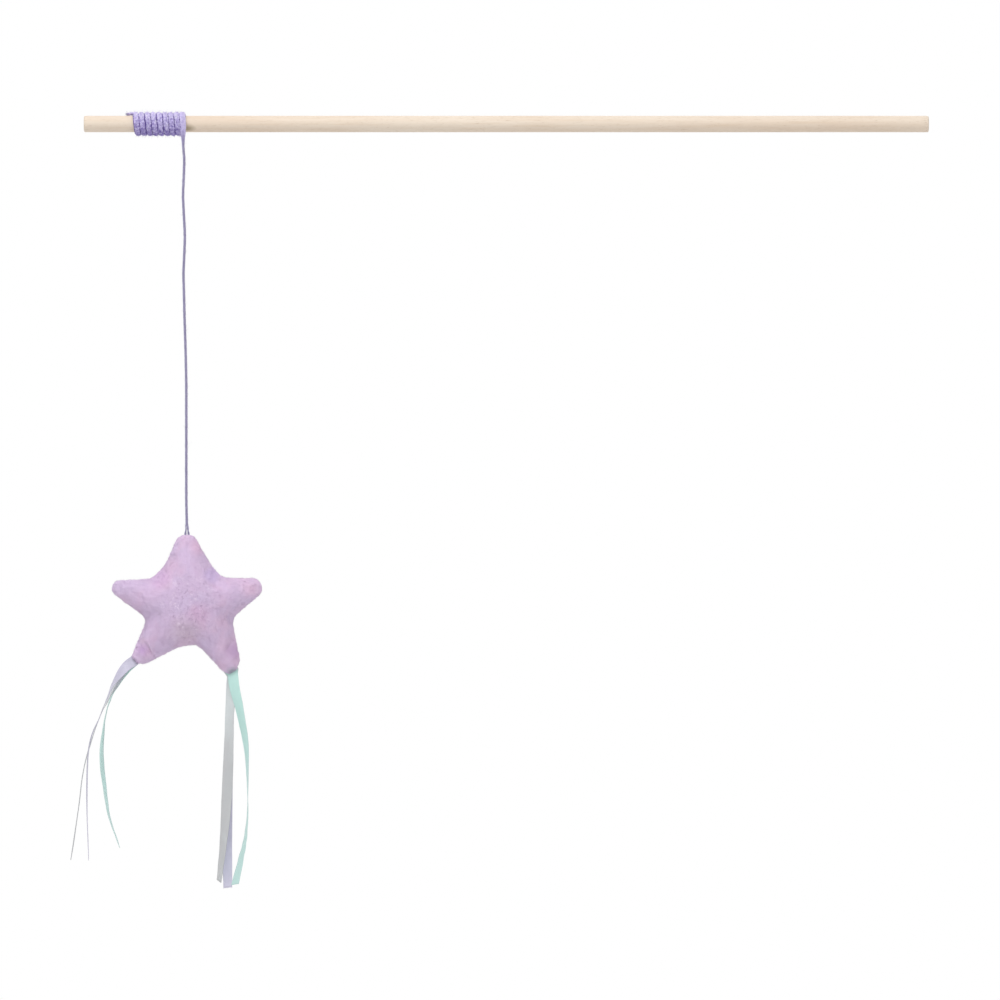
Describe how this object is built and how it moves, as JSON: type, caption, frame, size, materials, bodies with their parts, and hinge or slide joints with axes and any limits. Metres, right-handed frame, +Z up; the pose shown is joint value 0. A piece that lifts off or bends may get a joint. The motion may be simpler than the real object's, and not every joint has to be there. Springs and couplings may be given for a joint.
{
  "type": "cat teaser wand",
  "caption": "Wooden dowel wand with a yarn cord wound on near its tip, from which a stuffed plush star with ribbon tails hangs and swings.",
  "frame": {"origin": "on the dowel's axis, in the middle of the hand grip, 60 mm from the handle end", "axes": "+X along the dowel to the handle end, +Y away from the side that the cord hangs on, +Z up"},
  "size_m": [0.4063, 0.0222, 0.3668],
  "materials": {
    "wood": "bare, sanded",
    "glue": "clear, thin",
    "yarn": "soft spun acrylic yarn",
    "plush": "short soft pile",
    "filling": "loose polyester fibre",
    "thread": "polyester sewing thread",
    "lavender_ribbon": "satin",
    "white_ribbon": "satin",
    "mint_ribbon": "satin"
  },
  "bodies": {
    "root": {"dowel": "wood", "glue_film": "glue", "cord_winding": "yarn"},
    "cord_neck": {"cord_neck": "yarn"},
    "cord_upper": {"cord_upper": "yarn"},
    "cord_middle": {"cord_middle": "yarn"},
    "cord_lower": {"cord_lower": "yarn"},
    "cord_lead": {"cord_lead": "yarn"},
    "star": {"cord_loop": "yarn", "loop_knot": "yarn", "star_front": "plush", "star_back": "plush", "seam_thread": "thread", "fill_body": "filling", "fill_top": "filling", "fill_left_arm": "filling", "fill_right_arm": "filling", "fill_left_leg": "filling", "fill_right_leg": "filling", "left_ribbon_ends": "lavender_ribbon", "right_ribbon_ends": "mint_ribbon", "left_tack": "thread", "right_tack": "thread"},
    "left_lavender_ribbon": {"left_lavender_ribbon": "lavender_ribbon"},
    "left_white_ribbon": {"left_white_ribbon": "white_ribbon"},
    "left_mint_ribbon": {"left_mint_ribbon": "mint_ribbon"},
    "right_mint_ribbon": {"right_mint_ribbon": "mint_ribbon"},
    "right_white_ribbon": {"right_white_ribbon": "white_ribbon"},
    "right_lavender_ribbon": {"right_lavender_ribbon": "lavender_ribbon"}
  },
  "joints": [
    {"name": "cord_swing_fore", "type": "hinge", "parent": "root", "child": "cord_neck", "pos_m": [-0.29287, -0.00494, -0.00709], "axis": [1, 0, 0], "range_deg": [-90, 90]},
    {"name": "cord_swing_side", "type": "hinge", "parent": "cord_neck", "child": "cord_upper", "pos_m": [-0.29237, -0.00481, -0.01909], "axis": [0, 1, 0], "range_deg": [-75, 75]},
    {"name": "cord_fold", "type": "hinge", "parent": "cord_upper", "child": "cord_middle", "pos_m": [-0.29273, -0.00475, -0.06977], "axis": [1, 0, 0], "range_deg": [-60, 60]},
    {"name": "cord_twist", "type": "hinge", "parent": "cord_middle", "child": "cord_lower", "pos_m": [-0.29164, -0.00508, -0.11096], "axis": [0, 0, 1], "continuous": true},
    {"name": "star_swing_side", "type": "hinge", "parent": "cord_lower", "child": "cord_lead", "pos_m": [-0.2914, -0.00485, -0.15036], "axis": [0, 1, 0], "range_deg": [-60, 60]},
    {"name": "star_swing_fore", "type": "hinge", "parent": "cord_lead", "child": "star", "pos_m": [-0.29122, -0.00494, -0.18618], "axis": [1, 0, 0], "range_deg": [-60, 60]},
    {"name": "left_lavender_lift", "type": "hinge", "parent": "star", "child": "left_lavender_ribbon", "pos_m": [-0.31603, -0.00558, -0.25412], "axis": [0.7108, 0, -0.7034], "range_deg": [-75, 0]},
    {"name": "left_white_lift", "type": "hinge", "parent": "star", "child": "left_white_ribbon", "pos_m": [-0.31603, -0.00494, -0.25412], "axis": [0.7108, 0, -0.7034], "range_deg": [-37.5, 0]},
    {"name": "left_mint_lift", "type": "hinge", "parent": "star", "child": "left_mint_ribbon", "pos_m": [-0.31603, -0.00428, -0.25412], "axis": [0.7108, 0, -0.7034], "range_deg": [0, 75]},
    {"name": "right_mint_lift", "type": "hinge", "parent": "star", "child": "right_mint_ribbon", "pos_m": [-0.26943, -0.00558, -0.25977], "axis": [0.8192, 0, 0.5736], "range_deg": [-75, 0]},
    {"name": "right_white_lift", "type": "hinge", "parent": "star", "child": "right_white_ribbon", "pos_m": [-0.26943, -0.00494, -0.25977], "axis": [0.8192, 0, 0.5736], "range_deg": [-37.5, 0]},
    {"name": "right_lavender_lift", "type": "hinge", "parent": "star", "child": "right_lavender_ribbon", "pos_m": [-0.26943, -0.00428, -0.25977], "axis": [0.8192, 0, 0.5736], "range_deg": [0, 75]}
  ],
  "couplings": [
    {"joint": "left_white_lift", "follows": "left_lavender_lift", "ratio": 0.5},
    {"joint": "right_white_lift", "follows": "right_mint_lift", "ratio": 0.5}
  ]
}
